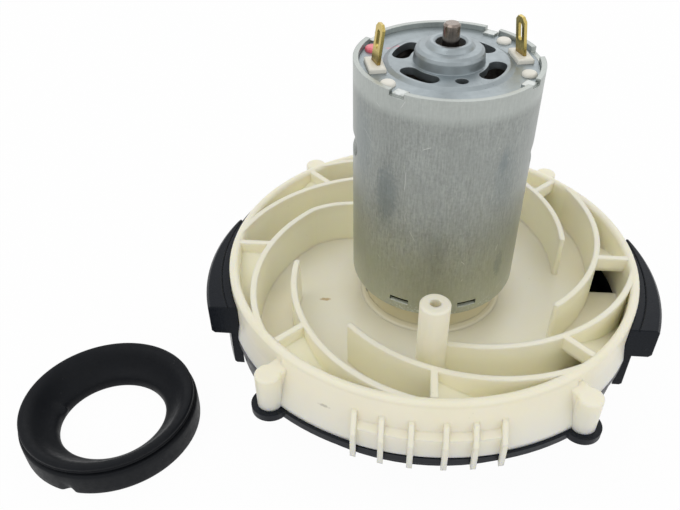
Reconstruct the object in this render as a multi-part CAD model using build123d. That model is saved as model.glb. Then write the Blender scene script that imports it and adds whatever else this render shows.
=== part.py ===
"""Vacuum cleaner motor: a 545 size motor on a spiral diffuser, with impeller, fan cover and seal ring.

Millimetres, +Z up. The origin is the centre of the seal seat's rim, the lowest face of the fan cover,
and Z is the shaft's axis. The comb and the visible screw post face -Y, the side pads face +X and -X.
"""

from build123d import *
from math import asin, cos, degrees, radians, sin
import os

# Clearances
running_gap = 0.03
slip_gap = 0.1
blade_gap = 0.6

# Shaft and motor can
shaft_radius = 1.5875
shaft_bottom = 9.0
shaft_stub = 6.4
shaft_chamfer = 0.35
can_radius = 17.9
can_base = 23.6
can_length = 49.8
can_wall = 1.6
can_rim_wall = 1.0
can_corner = 2.2
front_boss_radius = 6.5
front_boss_depth = 4.4
front_boss_wall = 1.2
front_boss_round = 1.2
shaft_clearance = 1.2
motor_turn = 13.9
vent_height = 4.4
vent_width = 13.0
vent_depth = 16.6
vent_bearings = (1.0, 181.0)
slot_width = 4.2
slot_height = 1.2
slot_rise = 3.6
slot_bearings = (-113.0, -66.0, 67.0, 114.0)
crimp_width = 3.0
crimp_tab_width = 2.4
crimp_tab_length = 2.0
crimp_tab_height = 0.45
crimp_bearings = (45, 135, 225, 315)
key_width = 4.6

# End cap
cap_thickness = 1.0
cap_inset = 1.0
cap_step_radius = 12.3
cap_step = 0.45
rear_boss_radius = 6.8
rear_boss_height = 3.75
rear_boss_hole = 2.8
rear_boss_wall = 2.2
kidney_inner = 7.4
kidney_outer = 10.8
kidney_bearings = (38.5, 141.5, 218.5, 321.5)
kidney_span = 52.0
bearing_cup_wall = 1.6
bearing_cup_depth = 0.9
boss_lip_width = 1.4
cap_hole_radius = 1.2
cap_hole_circle = 9.0

# Bearings
bearing_radius = 5.0
bearing_height = 4.6
bearing_shoulder = 0.7
washer_radius = 3.1
washer_thickness = 0.5
washer_gap = 0.2

# Brush card, brushes and terminals
card_inner = 11.4
card_thickness = 1.4
card_skirt_inner = 13.2
card_depth = 12.4
terminal_circle = 14.0
terminal_lean = 7.5
terminal_twist = 11.0
terminal_width = 3.0
terminal_thickness = 0.6
terminal_rise = 7.0
terminal_depth = 7.4
terminal_corner = 0.8
terminal_eye_width = 1.3
terminal_eye_height = 3.4
insulator_length = 5.8
insulator_width = 3.2
insulator_height = 0.9
stake_circle = 15.1
stake_bearings = (30.0, 150.0, 210.0, 330.0)
stake_radius = 1.0
stake_head_radius = 1.45
stake_head_height = 0.7
brush_width = 3.6
brush_height = 3.0
brush_depth = 9.4
brush_outer = 9.4
brush_travel = 1.5
box_wall = 0.5
box_inner = 5.8
box_outer = 13.2
brush_peg_radius = 0.7
brush_peg_length = 1.4
spring_wire = 0.3
spring_turns = 3

# Armature
commutator_radius = 4.5
commutator_core = 3.1
commutator_depth = 14.9
commutator_length = 9.5
commutator_cut = 0.4
pole_count = 5
stack_radius = 11.7
stack_rise = 8.2
stack_end_room = 28.8
slot_opening = 2.2
pole_tip = 1.5
pole_neck = 3.0
yoke_radius = 4.6
core_insulator = 0.6
winding_radius = 10.2
winding_overhang = 4.6
winding_round = 1.8
winding_dip = 1.6

# Field magnets and their clips
magnet_inner = 12.3
magnet_span = 128.0
magnet_rise = 5.4
magnet_end_room = 26.8
clip_thickness = 0.7
clip_margin = 1.5
clip_leg_gap = 0.8

# Diffuser
rim_radius = 45.5
rim_top = 28.4
rim_wall = 2.0
rim_round = 0.9
deck_top = 17.9
deck_thickness = 1.6
skirt_flare = 3.3
skirt_top = 27.2
base_flare = 0.8
spigot_gap = 0.3
vane_count = 8
vane_turn = 0.8
vane_thickness = 1.3
vane_arc_radius = 37.1
vane_offset = 11.23
vane_offset_bearing = 51.75
vane_tip_bearing = 32.0
vane_sweep = 65.0
vane_post_sweep = 75.0
post_vanes = (3, 7)
long_vane = 4
long_vane_sweep = 58.0
long_vane_middle = (28.3, 68.2)
long_vane_end = (24.6, 76.5)
vane_root = 0.6
vane_drop = 0.1
rib_thickness = 1.4
rib_depth = 3.0
ramp_drop = 2.4
wall_bite = 0.3
ramp_length = 23.0
post_circle = 29.6
post_radius = 3.0
post_top = 38.6
post_pilot = 1.1
post_pilot_depth = 10.0
pedestal_radius = 15.0
boss_gap = 0.4
ear_bearings = (-129.4, -52.4, 52.4, 129.4)
ear_reach = 3.8
ear_radius = 3.8
ear_boss_radius = 2.55
ear_boss_top = 25.9
ear_boss_round = 0.5
ear_pilot_depth = 6.0
comb_places = (-14.0, -8.8, -3.3, 3.1, 8.6, 13.9)
comb_rib_thickness = 1.1
comb_rib_depth = 5.2
comb_slab_depth = 3.9
comb_slab_top = 22.6
comb_slab_bottom = 17.9
comb_rib_top = 24.4
comb_rib_bottom = 15.8

# Fan cover
flange_bottom = 16.0
flange_thickness = 1.6
flange_reach = 4.0
flange_lip = 1.2
cover_wall = 1.6
bowl_inset = 0.25
bowl_waist = 9.6
bowl_bend_width = 4.0
bowl_bend = 7.2
bowl_foot = 4.5
seat_radius = 19.8
seat_depth = 3.0
seat_wall = 2.3
inlet_radius = 15.0

# Impeller
impeller_radius = 36.5
impeller_plate_bottom = 14.0
impeller_plate_thickness = 1.2
blade_count = 9
blade_thickness = 1.1
blade_root_radius = 13.5
blade_middle_radius = 24.0
blade_sweep = 62.0
blade_setback = 0.2
hub_radius = 5.2
hub_insert_radius = 3.0
hub_bottom = 10.0
hub_spacer = 1.0

# Screws
motor_screw_circle = 12.5
motor_screw_radius = 1.5
motor_screw_head_radius = 2.75
motor_screw_head_height = 2.0
motor_screw_seat = 19.0
motor_screw_reach = 1.8
cover_screw_radius = 1.1
cover_screw_head_radius = 2.1
cover_screw_head_height = 1.6
recess_width = 0.5

# Side pads
pad_front = 20.2
pad_back = 20.2
pad_margin = 0.7
pad_gap = 0.05
pad_strip_thickness = 1.9
pad_strip_bottom = 9.2
pad_strip_top = 25.7
pad_strip_edge = 0.4
pad_block_back = 11.3
pad_block_depth = 4.3
pad_block_arc_radius = 46.3
pad_block_bottom = 18.2
pad_block_edge = 0.6

# Loose seal ring
ring_x = -68.5
ring_y = -32.6
ring_radius = 18.5
ring_hole_radius = 11.2
ring_height = 8.2
ring_groove = 0.9
ring_groove_width = 0.6
ring_groove_centre = 6.2
ring_shelf = 3.0

# Worked out from the above
can_top = can_base + can_length
can_bore = can_radius - can_wall
cap_seat = can_top - cap_inset - cap_thickness
cap_top = cap_seat + cap_thickness
shaft_top = can_top + shaft_stub
vent_centre = can_top - vent_depth
slot_centre = can_base + slot_rise
card_bottom = can_top - card_depth
terminal_top = can_top + terminal_rise
terminal_bottom = can_top - terminal_depth
brush_centre = can_top - brush_depth
commutator_bottom = can_top - commutator_depth
commutator_top = commutator_bottom + commutator_length
stack_bottom = can_base + stack_rise
stack_height = can_length - stack_end_room
magnet_bottom = can_base + magnet_rise
magnet_height = can_length - magnet_end_room
inner_rim_radius = rim_radius - rim_wall
base_radius = rim_radius + base_flare
skirt_radius = rim_radius + skirt_flare
ear_circle = rim_radius + ear_reach
comb_rib_radius = rim_radius + comb_rib_depth
comb_slab_radius = rim_radius + comb_slab_depth
flange_radius = rim_radius + flange_reach
flange_inner = rim_radius - flange_lip
bowl_waist_radius = rim_radius - bowl_inset
bowl_bend_radius = bowl_waist_radius - bowl_bend_width
deck_bottom = deck_top - deck_thickness
flange_top = flange_bottom + flange_thickness
stack_top = stack_bottom + stack_height
rear_boss_top = cap_top + rear_boss_height + cap_step
front_bearing_bottom = can_base - front_boss_depth + front_boss_wall
rear_bearing_top = rear_boss_top - rear_boss_wall


def turned(shape, bearing):
    """The shape turned about the shaft's axis."""
    return Rotation(0, 0, bearing) * shape


def disc(radius, bottom, top, x=0.0, y=0.0):
    """A plain cylinder between two heights."""
    return Pos(x, y, bottom) * Cylinder(radius, top - bottom, align=(Align.CENTER, Align.CENTER, Align.MIN))


def tube(outer, inner, bottom, top):
    """A straight tube on the shaft's axis."""
    return disc(outer, bottom, top) - disc(inner, bottom - 1, top + 1)


def block(length, width, bottom, top, x=0.0, y=0.0):
    """A box centred on x and y between two heights."""
    low = (Align.CENTER, Align.CENTER, Align.MIN)
    return Pos(x, y, bottom) * Box(length, width, top - bottom, align=low)


def spun(points):
    """A closed outline of (radius, height) points turned round the shaft's axis."""
    outline = Plane.XZ * make_face(Polyline(*points, close=True))
    return revolve(outline, Axis.Z)


def wedge(radius, half_span, bottom, top):
    """A slice of a disc, centred on +X, for cutting arcs out of round parts."""
    reach = radius / cos(radians(half_span / 3))
    rays = [radians(half_span * step / 3) for step in (-3, -1, 1, 3)]
    outline = Polyline((0, 0), *[(reach * cos(ray), reach * sin(ray)) for ray in rays], close=True)
    return Pos(0, 0, bottom) * extrude(make_face(outline), top - bottom)


def arc_bar(inner, outer, half_span, bottom, top):
    """Part of a tube, centred on +X."""
    return tube(outer, inner, bottom, top) & wedge(outer * 1.01, half_span, bottom, top)


def kidney(inner, outer, span, bottom, top):
    """A curved slot with round ends, centred on +X. The span is measured over its ends."""
    middle, end = (inner + outer) / 2, (outer - inner) / 2
    half = span / 2 - degrees(asin(end / middle))
    slot = arc_bar(inner, outer, half, bottom, top)
    for side in (-half, half):
        slot += turned(disc(end, bottom, top, middle), side)
    return slot


def motor_can():
    """Deep drawn can with its front bearing boss, side vents, low slots and crimped rim."""
    cup = disc(can_radius, can_base, can_top)
    cup = fillet(cup.edges().group_by(Axis.Z)[0], can_corner)
    hollow = disc(can_bore, can_base + can_wall, can_top)
    hollow = fillet(hollow.edges().group_by(Axis.Z)[0], can_corner - 1)
    cup -= hollow
    cup -= disc(can_radius - can_rim_wall, cap_seat, can_top + 1)
    boss = disc(front_boss_radius, can_base - front_boss_depth, can_base + can_wall)
    boss = fillet(boss.edges().group_by(Axis.Z)[0], front_boss_round)
    cup += boss
    cup -= disc(bearing_radius, front_bearing_bottom, can_base + can_wall + 1)
    cup -= disc(shaft_radius + shaft_clearance, can_base - front_boss_depth - 1, can_base)
    for side in (0, 180):
        screw_hole = disc(motor_screw_radius + slip_gap, can_base - 1, can_base + can_wall + 1,
                          motor_screw_circle)
        cup -= turned(screw_hole, side + motor_turn)
    for bearing in vent_bearings:
        window = Pos(can_radius, 0, vent_centre) * Rotation(0, 90, 0) * extrude(
            Rotation(0, 0, 90) * SlotOverall(vent_width, vent_height), 4, both=True)
        cup -= turned(window, bearing)
    for bearing in slot_bearings:
        window = Pos(can_radius, 0, slot_centre) * Box(5, slot_width, slot_height)
        cup -= turned(window, bearing)
    for bearing in crimp_bearings:
        notch = block(can_rim_wall * 3, crimp_width, cap_top, can_top + 1, can_radius)
        tab = block(crimp_tab_length, crimp_tab_width, cap_top, cap_top + crimp_tab_height,
                    can_radius - (can_rim_wall + crimp_tab_length) / 2)
        cup -= turned(notch, bearing + motor_turn)
        cup += turned(tab, bearing + motor_turn)
    key = block(can_rim_wall * 3, key_width, cap_top, can_top + 1, can_radius)
    return cup - turned(key, motor_turn)


def end_cap():
    """Pressed steel cap with a raised middle, a bearing boss, four kidney vents and clearance holes."""
    edge = can_radius - can_rim_wall - slip_gap / 2
    raised = cap_top + cap_step
    lip = rear_boss_hole + boss_lip_width
    cup_radius, cup_bottom = bearing_radius + bearing_cup_wall, cap_seat - bearing_cup_depth
    profile = [
        (bearing_radius, cup_bottom), (cup_radius, cup_bottom), (cup_radius, cap_seat),
        (edge, cap_seat), (edge, cap_top), (cap_step_radius, cap_top), (cap_step_radius - 0.9, raised),
        (rear_boss_radius, raised), (cup_radius, rear_boss_top - 2.1), (cup_radius - 0.2, rear_boss_top - 1.5),
        (cup_radius - 0.8, rear_boss_top - 1.1), (lip + 0.4, rear_boss_top - 0.9),
        (lip, rear_boss_top - 0.3), (lip - 0.4, rear_boss_top),
        (rear_boss_hole + 0.4, rear_boss_top), (rear_boss_hole, rear_boss_top - 0.3),
        (rear_boss_hole, rear_bearing_top), (bearing_radius, rear_bearing_top)]
    cap = spun(profile)
    vent = kidney(kidney_inner, kidney_outer, kidney_span, cap_seat - 2, raised + 1)
    for bearing in kidney_bearings:
        cap -= turned(vent, bearing + motor_turn)
    for side in (90, 270):
        cap -= turned(disc(cap_hole_radius, cap_seat - 2, raised + 1, cap_hole_circle), side + motor_turn)
    for bearing in stake_bearings:
        hole = disc(stake_radius + slip_gap, cap_seat - 1, cap_top + 1, stake_circle)
        cap -= turned(hole, bearing + motor_turn)
    for side in (0, 180):
        window = block(insulator_width + slip_gap, insulator_length + slip_gap, cap_seat - 1, cap_top + 1,
                       terminal_circle)
        cap -= turned(window, side + motor_turn)
    return cap


def brush_card():
    """Moulded card under the cap. Its stakes and terminal blocks come up through the cap."""
    outer = can_bore - slip_gap
    card = tube(outer, card_skirt_inner, card_bottom, cap_seat) + tube(
        outer, card_inner, cap_seat - card_thickness, cap_seat)
    for bearing in stake_bearings:
        stake = disc(stake_radius, cap_seat - 1, cap_top, stake_circle)
        dome = disc(stake_head_radius, cap_top, cap_top + stake_head_height, stake_circle)
        dome = fillet(dome.edges().group_by(Axis.Z)[-1], stake_head_height * 0.8)
        card += turned(stake + dome, bearing + motor_turn)
    for side in (0, 180):
        insulator = block(insulator_width, insulator_length, cap_seat - 1, cap_top + insulator_height,
                          terminal_circle)
        insulator = chamfer(insulator.edges().group_by(Axis.Z)[-1], 0.25)
        rest = block(outer - box_outer, brush_width + 4, card_bottom, cap_seat, (outer + box_outer) / 2)
        slot = block(terminal_thickness, terminal_width, terminal_bottom, terminal_top)
        card += turned((insulator + rest) & disc(outer, card_bottom, can_top), side + motor_turn)
        card -= turned(in_place(slot) + box_outline(), side + motor_turn)
    return card


def in_place(shape):
    """A shape on the shaft's axis, moved to the terminal's place, twisted and tipped towards the shaft."""
    foot = Pos(0, 0, cap_top)
    moved = Pos(terminal_circle, 0, 0) * foot * Rotation(0, -terminal_lean, 0)
    return moved * Rotation(0, 0, terminal_twist) * foot.inverse() * shape


def terminal():
    """Flat blade with cut corners and an oval eye, twisted a little and leaning inward."""
    eye_centre = terminal_top - 1.1 - terminal_eye_height / 2
    middle = (terminal_top + terminal_bottom) / 2
    blade = Pos(0, middle) * Rectangle(terminal_width, terminal_top - terminal_bottom)
    blade = chamfer(blade.vertices().group_by(Axis.Y)[-1], terminal_corner)
    blade -= Pos(0, eye_centre) * Rotation(0, 0, 90) * SlotOverall(terminal_eye_height, terminal_eye_width)
    upright = Rotation(0, 0, 90) * Rotation(90, 0, 0) * extrude(blade, terminal_thickness / 2, both=True)
    return in_place(upright)


def box_outline():
    """Outer form of a brush box, which also makes its pocket in the card."""
    grow = 2 * (box_wall + slip_gap)
    return Pos(box_inner, 0, brush_centre) * Box(
        box_outer - box_inner, brush_width + grow, brush_height + grow,
        align=(Align.MIN, Align.CENTER, Align.CENTER))


def brush_box():
    """Folded brass guide for one brush, open towards the commutator."""
    outer = box_outline()
    channel = Pos(box_inner - 1, 0, brush_centre) * Box(
        box_outer - box_inner - box_wall + 1, brush_width + 2 * slip_gap, brush_height + 2 * slip_gap,
        align=(Align.MIN, Align.CENTER, Align.CENTER))
    return outer - channel


def brush():
    """Carbon block, hollowed to the commutator's radius, with a tail peg inside the spring."""
    carbon = Pos(commutator_radius - 1, 0, brush_centre) * Box(
        brush_outer - commutator_radius + 1, brush_width, brush_height,
        align=(Align.MIN, Align.CENTER, Align.CENTER))
    carbon -= disc(commutator_radius + slip_gap, brush_centre - 5, brush_centre + 5)
    low = (Align.CENTER, Align.CENTER, Align.MIN)
    return carbon + Pos(brush_outer - 0.2, 0, brush_centre) * Rotation(0, 90, 0) * Cylinder(
        brush_peg_radius, brush_peg_length + 0.2, align=low)


def brush_spring():
    """Coil spring at its pressed length, between the brush's tail and the box's end wall."""
    start = brush_outer + brush_travel + spring_wire
    length = box_outer - box_wall - spring_wire / 2 - start
    coil_radius = brush_height / 2 - spring_wire
    coil = Helix(length / spring_turns, length, coil_radius)
    path = Pos(start, 0, brush_centre) * Rotation(0, 90, 0) * coil
    section = Plane(origin=path @ 0, z_dir=path % 0) * Circle(spring_wire / 2)
    return sweep(section, path, is_frenet=True)


def magnet():
    """One arc magnet, centred on +X, glued to the can's inner wall."""
    top = magnet_bottom + magnet_height
    return arc_bar(magnet_inner, can_bore, magnet_span / 2, magnet_bottom, top)


def magnet_clip():
    """Spring strip between the two magnets' ends, centred on +X."""
    bottom, top = magnet_bottom + clip_margin, magnet_bottom + magnet_height - clip_margin
    half = 90 - magnet_span / 2 - clip_leg_gap
    strip = arc_bar(can_bore - clip_thickness, can_bore, half, bottom, top)
    leg_half = degrees(asin(clip_thickness / (2 * magnet_inner)))
    for side in (-1, 1):
        leg = arc_bar(magnet_inner + 1, can_bore, leg_half, bottom, top)
        strip += turned(leg, side * (half - leg_half))
    return strip


def sleeve_bearing(bottom):
    """Sintered sleeve bearing with rounded shoulders."""
    top = bottom + bearing_height
    sleeve = chamfer(disc(bearing_radius, bottom, top).edges(), bearing_shoulder)
    return sleeve - disc(shaft_radius + running_gap, bottom - 1, top + 1)


def shaft():
    """Ground steel shaft, chamfered at both ends."""
    rod = disc(shaft_radius, shaft_bottom, shaft_top)
    return chamfer(rod.edges().filter_by(GeomType.CIRCLE), shaft_chamfer)


def armature_core():
    """Laminated stack with five poles."""
    pitch = 360 / pole_count
    core = disc(stack_radius, stack_bottom, stack_top)
    inner_tip = stack_radius - pole_tip
    for k in range(pole_count):
        mouth = block(stack_radius * 2, slot_opening, stack_bottom - 1, stack_top + 1,
                      stack_radius + yoke_radius + 1)
        half = pitch / 2
        room = tube(inner_tip, yoke_radius, stack_bottom - 1, stack_top + 1)
        room &= wedge(inner_tip * 1.01, half, stack_bottom - 1, stack_top + 1)
        for side in (-1, 1):
            neck = block(stack_radius * 2, pole_neck, stack_bottom - 2, stack_top + 2, stack_radius)
            room -= turned(neck, side * half)
        core -= turned(room + mouth, (k + 0.5) * pitch)
    return core - disc(shaft_radius, stack_bottom - 1, stack_top + 1)


def core_insulators():
    """Fibre end discs on the stack, one above and one below."""
    discs = []
    for bottom in (stack_bottom - core_insulator, stack_top):
        discs.append(tube(stack_radius - 0.5, shaft_radius, bottom, bottom + core_insulator))
    return Compound(children=discs)


def armature_windings():
    """Copper end turns above and below the stack, lobed between the poles."""
    coils = []
    height = winding_overhang
    for bottom in (stack_bottom - core_insulator - height, stack_top + core_insulator):
        ring = tube(winding_radius, yoke_radius, bottom, bottom + height)
        ring = fillet(ring.edges().filter_by(GeomType.CIRCLE).group_by(SortBy.RADIUS)[-1], winding_round)
        for k in range(pole_count):
            dip = Pos(winding_radius + 0.6, 0, bottom + height / 2) * Cylinder(winding_dip + 0.6, height + 2)
            ring -= turned(dip, (k + 0.5) * 360 / pole_count)
        coils.append(ring)
    return Compound(children=coils)


def commutator():
    """Copper segments round a moulded core, parted by saw cuts."""
    ring = tube(commutator_radius, commutator_core, commutator_bottom, commutator_top)
    for k in range(pole_count):
        cut = block(commutator_radius * 2, commutator_cut, commutator_bottom - 1, commutator_top + 1,
                    commutator_radius)
        ring -= turned(cut, k * 360 / pole_count)
    return ring


def commutator_hub():
    """Moulded core between the shaft and the commutator segments, reaching down to the coils."""
    low = stack_top + core_insulator
    return tube(commutator_core, shaft_radius, low, commutator_top + commutator_cut)


def thrust_washers():
    """Fibre washers between the rotor and its two bearings."""
    front = front_bearing_bottom + bearing_height
    rear = rear_bearing_top - bearing_height
    washers = []
    for bottom in (front + washer_gap, rear - washer_gap - washer_thickness):
        washers.append(tube(washer_radius, shaft_radius, bottom, bottom + washer_thickness))
    return Compound(children=washers)


def vane_centre(bearing=0.0):
    """Centre of the circle that a vane follows, for a vane whose tip is at this bearing."""
    angle = radians(vane_offset_bearing + bearing)
    return vane_offset * cos(angle), vane_offset * sin(angle)


def vane_point(sweep):
    """Where a vane's middle line crosses the ray that lies sweep degrees clockwise of its tip."""
    x, y = vane_centre()
    ray_x, ray_y = cos(radians(sweep)), -sin(radians(sweep))
    along = x * ray_x + y * ray_y
    reach = along + (along * along - vane_offset**2 + vane_arc_radius**2) ** 0.5
    return reach * ray_x, reach * ray_y


def vane(sweep):
    """One spiral vane. Its tip meets the rim on +X and it winds inward clockwise."""
    bottom, top = deck_top - vane_root, rim_top - vane_drop
    strip = Pos(*vane_centre()) * (
        Circle(vane_arc_radius + vane_thickness / 2) - Circle(vane_arc_radius - vane_thickness / 2))
    strip &= Circle(inner_rim_radius + vane_root)
    far = 2 * rim_radius
    cut_x, cut_y = far * cos(radians(sweep)), -far * sin(radians(sweep))
    strip &= make_face(Polyline((0, 0), (far, far / 3), (far, -far), (cut_x, cut_y), close=True))
    body = Pos(0, 0, bottom) * extrude(strip, top - bottom)
    return body + disc(vane_thickness / 2, bottom, top, *vane_point(sweep))


def long_end():
    """Longer inner end of one vane, which bends in towards the motor. The vane's tip is on +X."""
    bottom, top = deck_top - vane_root, rim_top - vane_drop
    points = [vane_point(long_vane_sweep)]
    for radius, sweep in (long_vane_middle, long_vane_end):
        points.append((radius * cos(radians(sweep)), -radius * sin(radians(sweep))))
    end = Pos(0, 0, bottom) * extrude(trace(ThreePointArc(*points), vane_thickness), top - bottom)
    return end + disc(vane_thickness / 2, bottom, top, *points[-1])


def crescent(bottom, top, grow=0.0):
    """The space between a vane's outer side and the rim, from the rib on +X to the vane's tip."""
    area = Circle(inner_rim_radius + grow)
    area -= Pos(*vane_centre(vane_tip_bearing)) * Circle(vane_arc_radius + vane_thickness / 2 - grow)
    area &= Pos(inner_rim_radius, ramp_length / 2 + 1) * Rectangle(2 * inner_rim_radius, ramp_length + 2)
    return Pos(0, 0, bottom) * extrude(area, top - bottom)


def ramp():
    """Sloped plate that lifts the air from under the deck, from the vane's tip up to the rib on +X."""
    high = rim_top - ramp_drop
    end = ramp_length + 3
    side = Plane.YZ * make_face(Polyline(
        (0, high - deck_thickness), (ramp_length, deck_bottom), (end, deck_bottom), (end, deck_top),
        (ramp_length, deck_top), (0, high), close=True))
    plate = extrude(side, rim_radius + 5)
    return plate & crescent(deck_bottom - 1, rim_top, wall_bite)


def rib():
    """Lip across the channel above its window, on +X, from the vane to the rim."""
    x, y = vane_centre(vane_tip_bearing)
    vane_side = x + ((vane_arc_radius + vane_thickness / 2) ** 2 - y * y) ** 0.5
    inner, outer = vane_side - wall_bite, inner_rim_radius + wall_bite
    return block(outer - inner, rib_thickness, rim_top - rib_depth, rim_top - vane_drop, (inner + outer) / 2)


def between_ears(shape):
    """Two copies of a round shape, each cut to the span between a pair of ears, front and back."""
    copies = []
    for first, second in (ear_bearings[:2], ear_bearings[2:]):
        slice_cut = wedge(3 * rim_radius, (second - first) / 2, -1, rim_top + 1)
        copies.append(shape & turned(slice_cut, (first + second) / 2))
    return copies[0] + copies[1]


def pad_zone(margin, back=pad_back):
    """Space across the whole part in which the side pads lie, from their front ends to their back ends."""
    width, middle = pad_front + back + 2 * margin, (back - pad_front) / 2
    return block(4 * rim_radius, width, 0, rim_top, 0, middle)


def wall():
    """Outer wall of the diffuser, with a drafted skirt between each pair of ears."""
    ring = tube(rim_radius, inner_rim_radius, deck_bottom, rim_top)
    ring = fillet(ring.edges().group_by(Axis.Z)[-1], rim_round)
    inside = inner_rim_radius + 0.5
    foot = spun([(inside, flange_top), (base_radius, flange_top), (rim_radius, flange_top + 5),
                 (inside, flange_top + 5)])
    foot -= pad_zone(pad_margin)
    flare = spun([(inside, flange_top), (skirt_radius, flange_top), (skirt_radius, flange_top + 0.8),
                  (rim_radius, skirt_top), (inside, skirt_top)])
    ring += foot + between_ears(flare)
    return ring - tube(2 * rim_radius, flange_inner - spigot_gap, deck_bottom - 1, flange_top)


def comb():
    """Ledge with six tapered ribs on the front of the wall, on -Y."""
    left, right = comb_places[0], comb_places[-1]
    slab = tube(comb_slab_radius, rim_radius - 0.5, comb_slab_bottom, comb_slab_top)
    slab &= block(right - left, comb_slab_radius, comb_slab_bottom, comb_slab_top, (left + right) / 2,
                  -comb_slab_radius)
    ribs = spun([
        (rim_radius - 0.6, comb_slab_bottom), (flange_radius + slip_gap, comb_slab_bottom),
        (flange_radius + slip_gap, comb_rib_bottom), (comb_rib_radius, comb_rib_bottom),
        (comb_rib_radius, comb_slab_top - 0.6), (comb_slab_radius - 2.0, comb_rib_top),
        (rim_radius - 0.6, comb_rib_top)])
    for place in comb_places:
        slab += ribs & block(comb_rib_thickness, comb_rib_radius, comb_rib_bottom - 1, rim_top, place,
                             -comb_rib_radius)
    return slab


def ear_boss():
    """Blind screw boss beside the wall, centred on +X, joined to the wall by a web."""
    post = disc(ear_boss_radius, flange_top, ear_boss_top, ear_circle)
    post += block(ear_circle - rim_radius + 1, ear_boss_radius * 1.5, flange_top, ear_boss_top,
                  (ear_circle + rim_radius - 1) / 2)
    return fillet(post.edges().group_by(Axis.Z)[-1], ear_boss_round)


def diffuser():
    """Moulded deck with spiral vanes, ribs and ramps, the motor's pedestal, screw posts and ear bosses."""
    step = 360 / vane_count
    body = disc(inner_rim_radius + 0.5, deck_bottom, deck_top)
    for k in range(vane_count):
        body -= turned(crescent(deck_bottom - 1, deck_top + 1), k * step + vane_turn)
    body += wall()
    for k in range(vane_count):
        sweep = vane_post_sweep if k in post_vanes else vane_sweep
        if k == long_vane:
            sweep = long_vane_sweep
        body += turned(vane(sweep), k * step + vane_turn + vane_tip_bearing)
        body += turned(ramp() + rib(), k * step + vane_turn)
    body += turned(long_end(), long_vane * step + vane_turn + vane_tip_bearing)
    for side in (-90, 90):
        post = disc(post_radius, deck_top - 0.5, post_top, post_circle)
        body += turned(chamfer(post.edges().group_by(Axis.Z)[-1], 0.35), side)
        body -= turned(disc(post_pilot, post_top - post_pilot_depth, post_top + 1, post_circle), side)
    pedestal = disc(pedestal_radius, deck_top - 0.5, can_base)
    body += chamfer(pedestal.edges().group_by(Axis.Z)[-1], 0.6)
    body -= disc(front_boss_radius + boss_gap, deck_bottom - 1, can_base + 1)
    for side in (0, 180):
        bore = disc(motor_screw_radius + slip_gap, deck_bottom - 1, can_base + 1, motor_screw_circle)
        sink = disc(motor_screw_head_radius + slip_gap, deck_bottom - 1, motor_screw_seat, motor_screw_circle)
        body -= turned(bore + sink, side + motor_turn)
    for bearing in ear_bearings:
        body += turned(ear_boss(), bearing)
    for bearing in ear_bearings:
        pilot = disc(cover_screw_radius + slip_gap, flange_top - 1, flange_top + ear_pilot_depth, ear_circle)
        body -= turned(pilot, bearing)
    return body + comb()


def fan_cover():
    """Moulded bowl under the impeller, with the inlet, the seal's seat and a flange with four ears."""
    floor_top = bowl_foot + cover_wall
    lip = inlet_radius + 1.2
    waist = bowl_waist_radius - cover_wall
    bowl = spun([
        (base_radius, flange_top), (flange_inner, flange_top), (flange_inner, flange_bottom),
        (waist, flange_bottom - 0.6), (waist, bowl_waist + 0.9),
        (bowl_bend_radius - 0.6, bowl_bend + cover_wall),
        (seat_radius + 1.5, floor_top), (lip, floor_top - 0.3), (inlet_radius, floor_top - 1.1),
        (inlet_radius, seat_depth), (seat_radius, seat_depth), (seat_radius, 0), (seat_radius + seat_wall, 0),
        (seat_radius + seat_wall, bowl_foot), (bowl_bend_radius, bowl_bend), (bowl_waist_radius, bowl_waist),
        (bowl_waist_radius, flange_bottom), (base_radius, flange_bottom)])
    bowl -= tube(base_radius + 1, rim_radius, flange_bottom - 1, flange_top + 1) & pad_zone(pad_margin)
    bowl += between_ears(tube(flange_radius, flange_inner + 0.5, flange_bottom, flange_top))
    for bearing in ear_bearings:
        ear = disc(ear_radius, flange_bottom, flange_top, ear_circle)
        bowl += turned(ear & tube(2 * rim_radius, flange_inner + 0.5, flange_bottom, flange_top), bearing)
        hole = disc(cover_screw_radius + slip_gap, flange_bottom - 1, flange_top + 1, ear_circle)
        bowl -= turned(hole, bearing)
    return bowl


def impeller():
    """Open impeller: back plate, hub and backward curved blades that follow the cover's bowl."""
    plate_top = impeller_plate_bottom + impeller_plate_thickness
    rise = (bowl_bend - bowl_foot) / (bowl_bend_radius - 0.6 - seat_radius - 1.5)
    low = bowl_foot + cover_wall + blade_gap
    start = seat_radius + 1.5
    tip = impeller_radius - blade_setback
    room = spun([(blade_root_radius - 3, low), (start, low), (tip, low + rise * (tip - start)),
                 (tip, impeller_plate_bottom + 0.3), (blade_root_radius - 3, impeller_plate_bottom + 0.3)])
    wheel = tube(impeller_radius, hub_insert_radius, impeller_plate_bottom, plate_top)
    hub = tube(hub_radius, hub_insert_radius, hub_bottom, impeller_plate_bottom + 0.3)
    wheel += chamfer(hub.edges().group_by(Axis.Z)[0].sort_by(SortBy.RADIUS)[-1], 0.8)
    stations = [(blade_root_radius, 0), (blade_middle_radius, -blade_sweep * 0.42),
                (impeller_radius + 1, -blade_sweep)]
    points = [(radius * cos(radians(turn)), radius * sin(radians(turn))) for radius, turn in stations]
    strip = trace(ThreePointArc(*points), blade_thickness)
    blade = room & Pos(0, 0, low - 1) * extrude(strip, plate_top - low)
    for k in range(blade_count):
        wheel += turned(blade, k * 360 / blade_count)
    return wheel


def impeller_hub():
    """Brass insert that the shaft is pressed into."""
    top = impeller_plate_bottom + impeller_plate_thickness
    return tube(hub_insert_radius, shaft_radius, hub_bottom, top + hub_spacer)


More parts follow.
